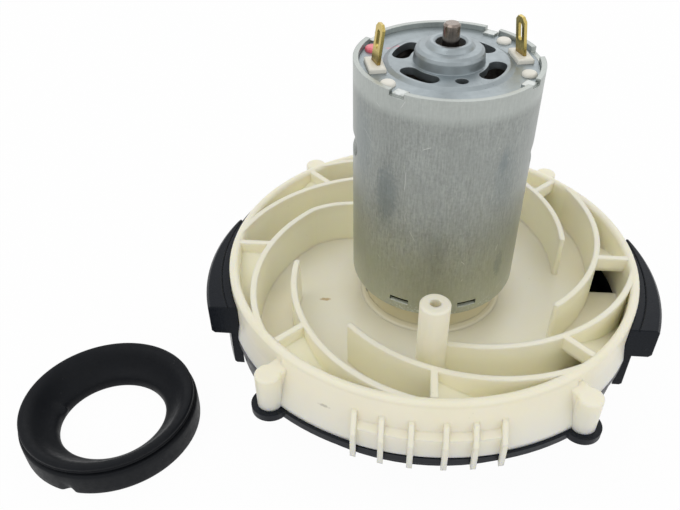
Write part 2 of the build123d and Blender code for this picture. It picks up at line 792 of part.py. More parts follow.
def screw(radius, head_radius, head_height, seat, tip, circle):
    """Pan head screw that points up, with its head below the seat and a cross recess."""
    shank = disc(radius, seat - 0.1, tip, circle)
    head = disc(head_radius, seat - head_height, seat, circle)
    head = fillet(head.edges().group_by(Axis.Z)[0], head_height * 0.45)
    for width, length in ((recess_width, head_radius), (head_radius, recess_width)):
        head -= block(width, length, seat - head_height - 1, seat - head_height * 0.6, circle)
    return shank + head


def motor_screws():
    """Two screws from under the deck into the motor's front face."""
    tip = can_base + can_wall + motor_screw_reach
    one = screw(motor_screw_radius, motor_screw_head_radius, motor_screw_head_height, motor_screw_seat, tip,
                motor_screw_circle)
    return Compound(children=[turned(one, side + motor_turn) for side in (0, 180)])


def cover_screws():
    """Four screws from under the flange's ears into the diffuser's ear bosses."""
    tip = flange_top + ear_pilot_depth - 0.8
    one = screw(cover_screw_radius, cover_screw_head_radius, cover_screw_head_height, flange_bottom, tip,
                ear_circle)
    return Compound(children=[turned(one, bearing) for bearing in ear_bearings])


def side_pad():
    """Rubber buffer on +X: a strip along wall and bowl, and a crowned block outside its upper part."""
    inner = rim_radius + pad_gap
    outer = inner + pad_strip_thickness
    half = block(2 * outer, 4 * outer, 0, rim_top, outer)
    strip = tube(outer, inner, pad_strip_bottom, pad_strip_top) & pad_zone(0) & half
    strip = chamfer(strip.edges().filter_by(GeomType.CIRCLE).group_by(SortBy.RADIUS)[-1], pad_strip_edge)
    lump = Pos(inner + pad_block_depth - pad_block_arc_radius, (pad_block_back - pad_front) / 2) * disc(
        pad_block_arc_radius, pad_block_bottom, pad_strip_top)
    lump = chamfer(lump.edges().filter_by(GeomType.CIRCLE), pad_block_edge)
    lump = (lump - disc(outer - pad_gap, 0, rim_top)) & pad_zone(0, pad_block_back) & half
    return strip + lump


def seal_ring():
    """Loose rubber ring that seals the inlet: a funnel shaped top and a groove round its outer wall."""
    outer, hole, top = ring_radius, ring_hole_radius, ring_height
    low = ring_groove_centre - ring_groove_width / 2
    high = ring_groove_centre + ring_groove_width / 2
    ring = spun([
        (hole + 0.2, 0), (outer - 0.5, 0), (outer, 0.6), (outer, low - 0.4), (outer - 0.3, low),
        (outer - ring_groove, low), (outer - ring_groove, high), (outer - 0.7, high),
        (outer - 0.5, high + 0.2), (outer - 0.5, top - 0.8), (outer - 0.9, top - 0.2), (outer - 1.6, top),
        (outer - 2.6, top - 0.4), (hole + 3.1, ring_shelf + 2.9), (hole + 1.4, ring_shelf + 0.9),
        (hole + 0.5, ring_shelf + 0.1), (hole, ring_shelf - 0.4)])
    return Pos(ring_x, ring_y, 0) * ring


PARTS = {
    "diffuser": diffuser,
    "fan_cover": fan_cover,
    "impeller": impeller,
    "impeller_hub": impeller_hub,
    "side_pad_right": side_pad,
    "side_pad_left": lambda: mirror(side_pad(), Plane.YZ),
    "motor_screws": motor_screws,
    "cover_screws": cover_screws,
    "motor_can": motor_can,
    "end_cap": end_cap,
    "brush_card": brush_card,
    "terminal_right": lambda: turned(terminal(), motor_turn),
    "terminal_left": lambda: turned(terminal(), motor_turn + 180),
    "brush_box_right": lambda: turned(brush_box(), motor_turn),
    "brush_box_left": lambda: turned(brush_box(), motor_turn + 180),
    "brush_right": lambda: turned(brush(), motor_turn),
    "brush_left": lambda: turned(brush(), motor_turn + 180),
    "brush_spring_right": lambda: turned(brush_spring(), motor_turn),
    "brush_spring_left": lambda: turned(brush_spring(), motor_turn + 180),
    "front_bearing": lambda: sleeve_bearing(front_bearing_bottom),
    "rear_bearing": lambda: sleeve_bearing(rear_bearing_top - bearing_height),
    "shaft": shaft,
    "armature_core": armature_core,
    "core_insulators": core_insulators,
    "armature_windings": armature_windings,
    "commutator": commutator,
    "commutator_hub": commutator_hub,
    "thrust_washers": thrust_washers,
    "magnet_front": lambda: turned(magnet(), motor_turn - 90),
    "magnet_back": lambda: turned(magnet(), motor_turn + 90),
    "magnet_clip_right": lambda: turned(magnet_clip(), motor_turn),
    "magnet_clip_left": lambda: turned(magnet_clip(), motor_turn + 180),
    "seal_ring": seal_ring,
}

if __name__ == "__main__":
    os.makedirs("parts", exist_ok=True)
    for name, make in PARTS.items():
        export_step(make(), f"parts/{name}.step")
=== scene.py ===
"""Looks of a vacuum cleaner motor: a small motor on its cream air diffuser, with a loose seal ring beside it.

Lengths are metres unless a name ends in _mm, bearings are degrees about the shaft or the ring, and every
finished piece has its place in its mesh.
"""
from math import cos, pi, radians, sin

import bmesh
import bpy
from mathutils import Matrix, Vector


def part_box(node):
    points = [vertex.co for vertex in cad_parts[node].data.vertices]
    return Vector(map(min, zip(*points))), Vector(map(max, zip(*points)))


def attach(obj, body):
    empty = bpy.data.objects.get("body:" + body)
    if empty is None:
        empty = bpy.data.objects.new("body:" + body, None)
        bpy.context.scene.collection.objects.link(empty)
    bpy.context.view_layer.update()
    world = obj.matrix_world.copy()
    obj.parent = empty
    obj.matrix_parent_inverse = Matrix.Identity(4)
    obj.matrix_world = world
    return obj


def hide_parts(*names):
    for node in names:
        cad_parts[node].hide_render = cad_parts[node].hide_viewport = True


bl_info = {
    "name": "Vacuum cleaner motor",
    "version": (1, 0, 0),
    "blender": (4, 5, 0),
    "location": "3D View > Sidebar > Motor",
    "description": "Finishes and fine pieces of a vacuum cleaner motor",
    "category": "Object",
}

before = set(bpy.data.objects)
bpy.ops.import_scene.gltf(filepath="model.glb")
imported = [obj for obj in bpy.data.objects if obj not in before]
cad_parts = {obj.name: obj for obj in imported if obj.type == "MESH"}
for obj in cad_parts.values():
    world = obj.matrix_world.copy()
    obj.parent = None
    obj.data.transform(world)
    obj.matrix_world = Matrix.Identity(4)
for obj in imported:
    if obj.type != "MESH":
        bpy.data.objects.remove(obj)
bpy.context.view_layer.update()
MM = 0.001

# Places taken from the boxes of the CAD parts
can_low, can_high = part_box("motor_can")
can_radius = (can_high.x - can_low.x) / 2
cap_plane = can_high.z - 1.0 * MM
ring_low, ring_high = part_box("seal_ring")
ring_middle = (ring_low + ring_high) / 2
ring_radius = (ring_high.x - ring_low.x) / 2

# Heights and distances from the shaft of forms that no node's box gives
deck_height = 17.9 * MM
tray_rim = 28.3 * MM
inner_reach = 44.7 * MM
pedestal_reach = 15.1 * MM
slot_height = 27.2 * MM
stake_circle = 15.1 * MM

# Bearings of the can's slots, of the crimps in its rim and of the stake head that carries the paint
motor_turn = 13.9
slot_bearings = (-113.0, -66.0, 67.0, 114.0)
crimp_bearings = [motor_turn + 45 + 90 * corner for corner in range(4)]
painted_stake = motor_turn + 150.0

# Marks seen in the photograph: spot of the mould's gate on the deck, smudge on the wall and smear on the cap
gate_mark = (-23.9 * MM, -7.1 * MM, deck_height)
wall_mark = (-20.0 * MM, -42.9 * MM, 22.8 * MM)
smear_mark = (-10.7 * MM, 5.2 * MM, 72.7 * MM)

# Dark bluish patches on the can: bearing, height, radius and strength
can_dark_patches = (
    (-126.0, 52.0 * MM, 3.0 * MM, 0.38), (-150.0, 61.0 * MM, 4.0 * MM, 0.25),
    (-50.0, 56.0 * MM, 3.4 * MM, 0.2), (-43.0, 35.1 * MM, 1.6 * MM, 0.35), (-52.6, 60.2 * MM, 1.2 * MM, 0.3))

# Bent lips below the can's slots
lip_reach = 17.5 * MM
lip_height = 26.72 * MM
lip_slope = radians(24)
lip_depth = 0.75 * MM
lip_length = 4.1 * MM
lip_wall = 0.3 * MM

# Coat of paint on the stake head
coat_radius = 1.5 * MM
coat_height = 0.76 * MM
coat_edge = 0.5 * MM

# Section of the pedestal's cove in millimetres: distance outwards from the pedestal, and height over the deck
cove_section_mm = (
    (-0.2, -0.1), (-0.2, 0.95), (-0.02, 0.95), (0.05, 0.62), (0.2, 0.36), (0.44, 0.16), (0.75, 0.05),
    (1.1, 0.01), (1.1, -0.1))
cove_steps = 120

# Section of the seal ring in millimetres: distance inwards from its outer wall, and height
ring_section_mm = (
    (6.5, 0.0), (7.2, 0.2), (7.35, 0.9), (7.3, 2.2), (6.8, 3.0), (5.6, 3.7), (4.2, 5.3), (3.2, 6.9),
    (2.3, 7.8), (1.5, 8.15), (0.8, 8.1), (0.5, 7.75), (0.5, 7.3), (0.62, 7.1), (0.85, 7.0), (0.62, 6.88),
    (0.5, 6.7), (0.55, 6.5), (1.2, 6.42), (1.3, 6.2), (1.2, 5.98), (0.2, 5.9), (0.0, 5.6), (0.0, 3.0),
    (0.0, 0.5), (0.15, 0.1), (0.6, 0.0))

# Nub in the seal ring's hole and notch at its foot: bearing, radius, height, and shift outwards, along and up
ring_nub = (174.0, ring_radius - 7.3 * MM, 2.4 * MM, (-0.9 * MM, 0.0, 0.2 * MM))
ring_notch = (-99.0, ring_radius, 0.4 * MM, (-0.7 * MM, 0.0, 0.5 * MM))
shift_reach = 0.95 * MM
oval_bearing = 30.0

# How a brushed pattern is drawn out: a small share draws it out along that axis
along_can = (1.0, 1.0, 0.15)
along_shaft = (1.0, 1.0, 0.06)
turned_fine = (0.02, 0.02, 1.0)
turned_coarse = (0.05, 0.05, 1.0)

# Tones of the diffuser: painted light on its inner walls, painted shade on its outer wall, on the deck round
# the pedestal and on the pedestal wall, and of its marks
painted_light_cream = (0.97, 0.93, 0.735)
painted_shade_grey = (0.76, 0.765, 0.74)
painted_shade_warm_cream = (0.78, 0.73, 0.53)
painted_shade_deep_cream = (0.52, 0.46, 0.28)
rub_brown = (0.30, 0.26, 0.18)
gate_brown = (0.50, 0.33, 0.10)
smudge_brown = (0.30, 0.26, 0.20)

# Tones of the can's foot in painted reflection of the tray, its chips, hairlines, dark patches and crimps,
# its inside in painted shade, and the cap's pits
painted_tray_reflection = (0.62, 0.64, 0.52)
chip_grey = (0.70, 0.74, 0.76)
hairline_grey = (0.75, 0.76, 0.74)
dark_patch_grey = (0.15, 0.19, 0.21)
crimp_grey = (0.80, 0.82, 0.82)
painted_shade_black = (0.03, 0.03, 0.03)
pit_grey = (0.10, 0.11, 0.12)

# Tones of the card, the armature's wire, the terminals' tarnished feet, the paint where it is thin, and dust
card_cream = (0.79, 0.76, 0.66)
card_white = (0.84, 0.82, 0.75)
below_cap_black = (0.020, 0.014, 0.012)
wire_red = (0.48, 0.10, 0.035)
wire_brown = (0.16, 0.035, 0.015)
wire_gap = (0.03, 0.01, 0.008)
tarnish_brown = (0.16, 0.09, 0.03)
thin_paint = (0.86, 0.30, 0.34)
dust_grey = (0.35, 0.35, 0.36)

# Tones of the pieces inside, and of the floor
impeller_grey = (0.085, 0.087, 0.092)
shaft_steel = (0.29, 0.245, 0.215)
core_steel = (0.26, 0.26, 0.27)
bar_copper = (0.62, 0.30, 0.17)
hub_brown = (0.05, 0.035, 0.03)
fibre_brown = (0.10, 0.035, 0.02)
magnet_grey = (0.055, 0.055, 0.06)
spring_steel = (0.60, 0.60, 0.58)
bearing_bronze = (0.24, 0.15, 0.09)
brush_black = (0.03, 0.03, 0.032)
paper_white = (0.86, 0.86, 0.86, 1.0)
full_white = (1.0, 1.0, 1.0, 1.0)


class MotorColours(bpy.types.PropertyGroup):
    """Base colours of the finishes."""

    cream: bpy.props.FloatVectorProperty(
        name="Cream plastic", description="Diffuser moulding", subtype="COLOR", default=(0.90, 0.86, 0.72))
    cream_deep: bpy.props.FloatVectorProperty(
        name="Cream shade", description="Yellower patches of the moulding", subtype="COLOR",
        default=(0.89, 0.83, 0.61))
    can: bpy.props.FloatVectorProperty(
        name="Can", description="Zinc plated can", subtype="COLOR", default=(0.325, 0.345, 0.33))
    cap: bpy.props.FloatVectorProperty(
        name="Cap", description="Pressed end cap", subtype="COLOR", default=(0.36, 0.405, 0.425))
    brass: bpy.props.FloatVectorProperty(
        name="Brass", description="Terminals", subtype="COLOR", default=(0.66, 0.52, 0.17))
    buffer: bpy.props.FloatVectorProperty(
        name="Buffers", description="Side buffers and fan cover", subtype="COLOR",
        default=(0.005, 0.007, 0.011))
    seal: bpy.props.FloatVectorProperty(
        name="Seal ring", description="Loose rubber ring", subtype="COLOR", default=(0.006, 0.007, 0.009))
    paint: bpy.props.FloatVectorProperty(
        name="Paint dab", description="Mark on one stake head", subtype="COLOR", default=(0.80, 0.09, 0.14))


class MotorDetail(bpy.types.PropertyGroup):
    """Sizes of the fine detail."""

    moulded_edge: bpy.props.FloatProperty(
        name="Moulded edge", description="Rounding of moulded edges", unit="LENGTH", default=0.6 * MM)
    pressed_edge: bpy.props.FloatProperty(
        name="Pressed edge", description="Rounding of sheet metal edges", unit="LENGTH", default=0.18 * MM)
    wire: bpy.props.FloatProperty(
        name="Wire", description="Thickness of the armature's wire", unit="LENGTH", default=0.42 * MM)
    ring_oval: bpy.props.FloatProperty(
        name="Ring oval", description="Share by which the soft ring lies out of round", subtype="FACTOR",
        default=0.02)
    ring_steps: bpy.props.IntProperty(
        name="Ring steps", description="Steps round the seal ring", default=128)


class MotorStage(bpy.types.PropertyGroup):
    """Camera and lamps."""

    camera_place: bpy.props.FloatVectorProperty(
        name="Camera", description="Where the camera stands", subtype="TRANSLATION", unit="LENGTH",
        default=(-0.00640, -0.13226, 0.13022))
    camera_yaw: bpy.props.FloatProperty(
        name="Yaw", description="Turn about the vertical", subtype="ANGLE", default=radians(3.28))
    camera_pitch: bpy.props.FloatProperty(
        name="Pitch", description="Tilt below the horizon", subtype="ANGLE", default=radians(41.74))
    camera_roll: bpy.props.FloatProperty(
        name="Roll", description="Turn about the line of sight", subtype="ANGLE", default=radians(0.96))
    camera_shift: bpy.props.FloatVectorProperty(
        name="Shift", description="Shares of its width by which the picture lies off the line of sight",
        size=2, default=(-0.0441, 0.0662))
    lens_mm: bpy.props.FloatProperty(
        name="Lens", description="Focal length in millimetres", unit="CAMERA", default=38.88)
    key: bpy.props.FloatProperty(
        name="Key lamp", description="Power of the lamp over the left side", unit="POWER", default=1.0)
    fill: bpy.props.FloatProperty(
        name="Fill lamps", description="Power of the right and the back lamp", unit="POWER", default=0.5)
    sky: bpy.props.FloatProperty(name="Sky", description="Strength of the even light", default=0.74)


def made_node(tree, kind, inputs=None, **settings):
    """A shader node with its settings, and its inputs linked or set."""
    made = tree.nodes.new(kind)
    for name, value in settings.items():
        setattr(made, name, value)
    for name, value in (inputs or {}).items():
        if isinstance(value, bpy.types.NodeSocket):
            tree.links.new(value, made.inputs[name])
        else:
            made.inputs[name].default_value = value
    return made


def maths(tree, operation, first, second=0.0):
    """Result of one calculation."""
    return made_node(tree, "ShaderNodeMath", {0: first, 1: second}, operation=operation).outputs[0]


def product(tree, first, second):
    """Two values multiplied."""
    return maths(tree, "MULTIPLY", first, second)


def total(tree, first, second):
    """Two values added."""
    return maths(tree, "ADD", first, second)


def ranged(tree, value, low, high, to_low=0.0, to_high=1.0):
    """Value moved from one range to another, and kept inside it."""
    return made_node(tree, "ShaderNodeMapRange", {
        "Value": value, "From Min": low, "From Max": high, "To Min": to_low, "To Max": to_high}).outputs[0]


def blended(tree, share, first, second):
    """Two colours mixed: the first at a share of 0, the second at 1."""
    inputs = {6: first, 7: second}
    for place, tone in inputs.items():
        if not isinstance(tone, bpy.types.NodeSocket):
            inputs[place] = (*tone, 1.0)
    return made_node(tree, "ShaderNodeMix", {0: share, **inputs}, data_type="RGBA").outputs[2]


def tinted(tree, base, mask, share, tone):
    """A colour with a tone laid over it where the mask is, at a share of its strength."""
    return blended(tree, product(tree, mask, share), base, tone)


def shade(tone, factor):
    """A darker or lighter tone."""
    return tuple(factor * part for part in tone)


def height_of(tree, place):
    """Height over the origin."""
    return made_node(tree, "ShaderNodeSeparateXYZ", {0: place}).outputs["Z"]


def reach_of(tree, place):
    """Distance from the shaft's axis."""
    parts = made_node(tree, "ShaderNodeSeparateXYZ", {0: place}).outputs
    squares = [product(tree, parts[axis], parts[axis]) for axis in "XY"]
    return maths(tree, "SQRT", total(tree, *squares))


def seen_rays(tree):
    """1 for rays from the camera, off gloss or through glass, and 0 for rays that light something."""
    path = tree.nodes.new("ShaderNodeLightPath").outputs
    return maths(tree, "MAXIMUM", path["Is Camera Ray"],
                 maths(tree, "MAXIMUM", path["Is Glossy Ray"], path["Is Transmission Ray"]))


def effect(name, inputs, output="Value"):
    """An empty shared effect: its tree, its inputs and its end node."""
    tree = bpy.data.node_groups.new(name, "ShaderNodeTree")
    for label, kind, value in inputs:
        socket = tree.interface.new_socket(label, in_out="INPUT", socket_type=kind)
        if value is not None:
            socket.default_value = value
    tree.interface.new_socket(output, in_out="OUTPUT", socket_type="NodeSocketFloat")
    return tree, tree.nodes.new("NodeGroupInput").outputs, tree.nodes.new("NodeGroupOutput").inputs


def mottle_effect():
    """Soft cloudy value."""
    tree, given, end = effect("Mottle", (
        ("Vector", "NodeSocketVector", None), ("Scale", "NodeSocketFloat", 200.0),
        ("Low", "NodeSocketFloat", 0.0), ("High", "NodeSocketFloat", 1.0)))
    cloud = made_node(tree, "ShaderNodeTexNoise", {
        "Vector": given["Vector"], "Scale": given["Scale"], "Detail": 4.0, "Roughness": 0.6})
    value = ranged(tree, cloud.outputs[0], 0.3, 0.7, given["Low"], given["High"])
    tree.links.new(value, end["Value"])
    return tree


def streak_effect():
    """Fine lines along one axis, by squeezing the coordinates along it."""
    tree, given, end = effect("Streaks", (
        ("Vector", "NodeSocketVector", None), ("Scale", "NodeSocketFloat", 3000.0),
        ("Squeeze", "NodeSocketVector", (1.0, 1.0, 0.02))))
    squeezed = made_node(tree, "ShaderNodeVectorMath", {0: given["Vector"], 1: given["Squeeze"]},
                         operation="MULTIPLY")
    lines = made_node(tree, "ShaderNodeTexNoise", {
        "Vector": squeezed.outputs[0], "Scale": given["Scale"], "Detail": 3.0, "Roughness": 0.65})
    tree.links.new(ranged(tree, lines.outputs[0], 0.25, 0.75), end["Value"])
    return tree


def speck_effect():
    """Small scattered spots: 1 on a spot, 0 elsewhere."""
    tree, given, end = effect("Specks", (
        ("Vector", "NodeSocketVector", None), ("Scale", "NodeSocketFloat", 900.0),
        ("Size", "NodeSocketFloat", 0.12)))
    cells = made_node(tree, "ShaderNodeTexVoronoi", {"Vector": given["Vector"], "Scale": given["Scale"]})
    sizes = made_node(tree, "ShaderNodeTexNoise", {"Vector": given["Vector"], "Scale": 160.0, "Detail": 2.0})
    limit = product(tree, given["Size"], ranged(tree, sizes.outputs[0], 0.45, 0.7))
    tree.links.new(maths(tree, "LESS_THAN", cells.outputs["Distance"], limit), end["Value"])
    return tree


def hairline_effect():
    """Thin wandering scratches: 1 on a line, 0 elsewhere."""
    tree, given, end = effect("Hairlines", (
        ("Vector", "NodeSocketVector", None), ("Scale", "NodeSocketFloat", 80.0),
        ("Width", "NodeSocketFloat", 0.003)))
    field = made_node(tree, "ShaderNodeTexNoise", {
        "Vector": given["Vector"], "Scale": given["Scale"], "Detail": 0.0})
    middle = maths(tree, "ABSOLUTE", maths(tree, "SUBTRACT", field.outputs[0], 0.5))
    line = maths(tree, "LESS_THAN", middle, given["Width"])
    parts = made_node(tree, "ShaderNodeTexNoise", {"Vector": given["Vector"], "Scale": 330.0, "Detail": 1.0})
    shown = ranged(tree, parts.outputs[0], 0.6, 0.66)
    tree.links.new(product(tree, line, shown), end["Value"])
    return tree


def patch_effect():
    """Ragged soft patch round a point: 1 in its middle, 0 outside."""
    tree, given, end = effect("Patch", (
        ("Vector", "NodeSocketVector", None), ("Place", "NodeSocketVector", (0.0, 0.0, 0.0)),
        ("Stretch", "NodeSocketVector", (1.0, 1.0, 1.0)), ("Radius", "NodeSocketFloat", 0.001),
        ("Ragged", "NodeSocketFloat", 0.5)))
    offset = made_node(tree, "ShaderNodeVectorMath", {0: given["Vector"], 1: given["Place"]},
                       operation="SUBTRACT")
    stretched = made_node(tree, "ShaderNodeVectorMath", {0: offset.outputs[0], 1: given["Stretch"]},
                          operation="MULTIPLY")
    reach = made_node(tree, "ShaderNodeVectorMath", {0: stretched.outputs[0]}, operation="LENGTH")
    share = maths(tree, "DIVIDE", reach.outputs["Value"], given["Radius"])
    warp = made_node(tree, "ShaderNodeTexNoise", {"Vector": given["Vector"], "Scale": 1400.0, "Detail": 3.0})
    wander = product(tree, given["Ragged"], ranged(tree, warp.outputs[0], 0.3, 0.7, -1.0, 1.0))
    tree.links.new(ranged(tree, total(tree, share, wander), 1.0, 0.5), end["Value"])
    return tree


def shared_effects():
    """The shared effects by name, made once."""
    makers = {"Mottle": mottle_effect, "Streaks": streak_effect, "Specks": speck_effect,
              "Hairlines": hairline_effect, "Patch": patch_effect}
    return {name: bpy.data.node_groups.get(name) or make() for name, make in makers.items()}


def use_effect(tree, name, vector, **values):
    """Places a shared effect in a material and gives its value."""
    made = tree.nodes.new("ShaderNodeGroup")
    made.node_tree = shared_effects()[name]
    tree.links.new(vector, made.inputs["Vector"])
    for label, value in values.items():
        made.inputs[label].default_value = value
    return made.outputs["Value"]


def new_material(name, **plain):
    """A material with plain values on its shader: the material, its tree and its shader."""
    material = bpy.data.materials.new(name)
    material.use_nodes = True
    shader = material.node_tree.nodes["Principled BSDF"]
    for label, value in plain.items():
        shader.inputs[label.replace("_", " ")].default_value = value
    return material, material.node_tree, shader


def finish(name, **plain):
    """A material for a piece: it, its tree, its shader and the piece's own coordinates."""
    material, tree, shader = new_material(name, **plain)
    return material, tree, shader, tree.nodes.new("ShaderNodeTexCoord").outputs["Object"]


def feed(tree, shader, base, rough):
    """Links the shader's colour and roughness."""
    tree.links.new(base, shader.inputs["Base Color"])
    tree.links.new(rough, shader.inputs["Roughness"])


def relief(tree, shader, height, depth, edge, strength=1.0):
    """Bump from a height over softly rounded edges."""
    rounded = made_node(tree, "ShaderNodeBevel", {"Radius": edge}, samples=6)
    bump = made_node(tree, "ShaderNodeBump", {
        "Strength": strength, "Distance": depth, "Height": height, "Normal": rounded.outputs[0]})
    tree.links.new(bump.outputs[0], shader.inputs["Normal"])


def cream_plastic(name, softness):
    """Glossy cream moulding that light sinks into, with painted light on its inner walls, painted shade on
    its outer wall and round the pedestal, marks and rubs.
    """
    tones, detail = bpy.context.scene.motor_colours, bpy.context.scene.motor_detail
    material, tree, shader, place = finish(
        name, Subsurface_Weight=softness, Subsurface_Scale=2.2 * MM, Subsurface_Radius=(1.0, 0.85, 0.4),
        IOR=1.47)
    reach, height = reach_of(tree, place), height_of(tree, place)
    cloud = use_effect(tree, "Mottle", place, Scale=60.0, High=0.55)
    base = blended(tree, cloud, tones.cream, tones.cream_deep)
    # Painted light: the walls inside the tray are made paler where shade would fall between the vanes
    walls = product(tree, ranged(tree, height, deck_height + 0.1 * MM, deck_height + 0.8 * MM),
                    ranged(tree, height, tray_rim - 0.05 * MM, tray_rim - 2.5 * MM))
    walls = product(tree, walls, ranged(tree, reach, inner_reach + 0.3 * MM, inner_reach))
    base = tinted(tree, base, walls, 0.85, painted_light_cream)
    # Painted shade with a painted reflection of the floor: the outer wall turns greyer towards its foot
    outside = product(tree, ranged(tree, height, deck_height + 7 * MM, deck_height),
                      ranged(tree, reach, inner_reach, inner_reach + 0.5 * MM))
    base = tinted(tree, base, outside, 0.6, painted_shade_grey)
    rubs = use_effect(tree, "Specks", place, Scale=420.0, Size=0.10)
    base = tinted(tree, base, rubs, 0.10, rub_brown)
    gate = use_effect(tree, "Patch", place, Place=gate_mark, Stretch=(0.8, 2.3, 1.0), Radius=1.2 * MM,
                      Ragged=0.3)
    base = tinted(tree, base, gate, 0.8, gate_brown)
    smudge = use_effect(tree, "Patch", place, Place=wall_mark, Stretch=(0.6, 1.0, 3.2), Radius=0.9 * MM,
                        Ragged=0.4)
    base = tinted(tree, base, smudge, 0.45, smudge_brown)
    # Painted shade: the deck round the pedestal is made warmer and darker where the can's shade falls
    around = ranged(tree, reach, pedestal_reach + 7 * MM, pedestal_reach)
    base = tinted(tree, base, around, 0.65, painted_shade_warm_cream)
    # Painted shade: the pedestal wall just below the can is darkened
    under = product(tree, ranged(tree, reach, pedestal_reach + 0.6 * MM, pedestal_reach + 0.3 * MM),
                    ranged(tree, height, can_low.z - 3.0 * MM, can_low.z))
    base = tinted(tree, base, under, 0.6, painted_shade_deep_cream)
    feed(tree, shader, base, use_effect(tree, "Mottle", place, Scale=500.0, Low=0.30, High=0.46))
    flow = use_effect(tree, "Mottle", place, Scale=1300.0)
    relief(tree, shader, flow, 0.02 * MM, detail.moulded_edge, 0.35)
    return material


def can_metal():
    """Zinc plated steel, brushed along the can, paler at its rim, with a painted reflection of the tray
    towards its foot, dark patches, scratches, chips and painted shade inside.
    """
    tones, detail = bpy.context.scene.motor_colours, bpy.context.scene.motor_detail
    material, tree, shader, place = finish("Brushed zinc steel", Metallic=0.9)
    height = height_of(tree, place)
    lines = use_effect(tree, "Streaks", place, Scale=3000.0, Squeeze=along_can)
    grain = use_effect(tree, "Mottle", place, Scale=1700.0)
    brushed = total(tree, product(tree, lines, 0.65), product(tree, grain, 0.35))
    pale = shade(tones.can, 1.38)
    base = blended(tree, brushed, shade(tones.can, 0.60), pale)
    cloud = use_effect(tree, "Mottle", place, Scale=110.0)
    base = tinted(tree, base, cloud, 0.5, shade(tones.can, 0.9))
    rim = ranged(tree, height, can_high.z - 5.0 * MM, can_high.z - 3.2 * MM)
    base = tinted(tree, base, rim, 0.4, shade(pale, 1.35))
    # Painted reflection: a warm tint of the cream tray laid on the can towards its foot
    foot = ranged(tree, height, slot_height + 18 * MM, slot_height)
    base = tinted(tree, base, foot, 0.45, painted_tray_reflection)
    below_slots = ranged(tree, height, slot_height + 0.4 * MM, slot_height - 1.6 * MM)
    chips = use_effect(tree, "Specks", place, Scale=1500.0, Size=0.5)
    base = tinted(tree, base, below_slots, product(tree, chips, 0.5), chip_grey)
    hairs = use_effect(tree, "Hairlines", place, Scale=70.0, Width=0.0022)
    base = tinted(tree, base, hairs, 0.45, hairline_grey)
    # Dark bluish patches laid on the can at listed bearings and heights
    for bearing, level, radius, share in can_dark_patches:
        dark_spot = use_effect(tree, "Patch", place, Place=spot_at(can_radius, bearing, level),
                           Stretch=(1.0, 1.0, 0.4), Radius=radius, Ragged=0.25)
        base = tinted(tree, base, dark_spot, share, dark_patch_grey)
    for bearing in crimp_bearings:
        spot = spot_at(0.91 * can_radius, bearing, can_high.z - 0.4 * MM)
        crimp = use_effect(tree, "Patch", place, Place=spot, Radius=1.5 * MM, Ragged=0.4)
        base = tinted(tree, base, crimp, 0.38, crimp_grey)
    # Painted shade: inside the can, below the cap, the metal is blackened
    inside = product(tree, ranged(tree, reach_of(tree, place), can_radius - 0.8 * MM, can_radius - 1.0 * MM),
                     ranged(tree, height, cap_plane - 0.4 * MM, cap_plane - 0.6 * MM))
    base = tinted(tree, base, inside, 0.9, painted_shade_black)
    rough = total(tree, product(tree, lines, 0.08), product(tree, grain, 0.08))
    feed(tree, shader, base, total(tree, rough, 0.32))
    relief(tree, shader, brushed, 0.012 * MM, detail.pressed_edge, 0.6)
    return material


def cap_metal():
    """Bluish satin plated steel with a fine grain, dark pits and a red smear."""
    tones, detail = bpy.context.scene.motor_colours, bpy.context.scene.motor_detail
    material, tree, shader, place = finish("Satin zinc steel", Metallic=0.9)
    cloud = use_effect(tree, "Mottle", place, Scale=160.0)
    base = blended(tree, cloud, tones.cap, shade(tones.cap, 0.8))
    pits = use_effect(tree, "Specks", place, Scale=1300.0, Size=0.16)
    base = tinted(tree, base, pits, 0.45, pit_grey)
    smear = use_effect(tree, "Patch", place, Place=smear_mark, Stretch=(0.75, 1.9, 1.0), Radius=1.1 * MM,
                       Ragged=0.9)
    base = tinted(tree, base, smear, 0.3, tones.paint)
    feed(tree, shader, base, use_effect(tree, "Mottle", place, Scale=900.0, Low=0.34, High=0.48))
    grain = use_effect(tree, "Mottle", place, Scale=4000.0)
    relief(tree, shader, grain, 0.01 * MM, detail.pressed_edge, 0.5)
    return material


def plain_metal(name, tone, rough, squeeze=(1.0, 1.0, 1.0)):
    """Metal with fine lines in its colour and gloss. rough holds its lowest and highest roughness."""
    detail = bpy.context.scene.motor_detail
    material, tree, shader, place = finish(name, Metallic=1.0)
    lines = use_effect(tree, "Streaks", place, Scale=2500.0, Squeeze=squeeze)
    base = blended(tree, lines, shade(tone, 0.7), tone)
    feed(tree, shader, base, ranged(tree, lines, 0.0, 1.0, *rough))
    relief(tree, shader, lines, 0.01 * MM, 0.6 * detail.pressed_edge, 0.5)
    return material


def terminal_brass():
    """Stamped brass, tarnished brown where it leaves its white block."""
    tones, detail = bpy.context.scene.motor_colours, bpy.context.scene.motor_detail
    material, tree, shader, place = finish("Stamped brass", Metallic=1.0)
    lines = use_effect(tree, "Streaks", place, Scale=2500.0, Squeeze=along_can)
    base = blended(tree, lines, shade(tones.brass, 0.7), tones.brass)
    cloud = use_effect(tree, "Mottle", place, Scale=700.0, Low=0.2)
    foot = ranged(tree, height_of(tree, place), cap_plane + 3.2 * MM, cap_plane + 1.2 * MM)
    base = tinted(tree, base, foot, cloud, tarnish_brown)
    feed(tree, shader, base, ranged(tree, lines, 0.0, 1.0, 0.20, 0.38))
    relief(tree, shader, lines, 0.01 * MM, 0.6 * detail.pressed_edge, 0.5)
    return material


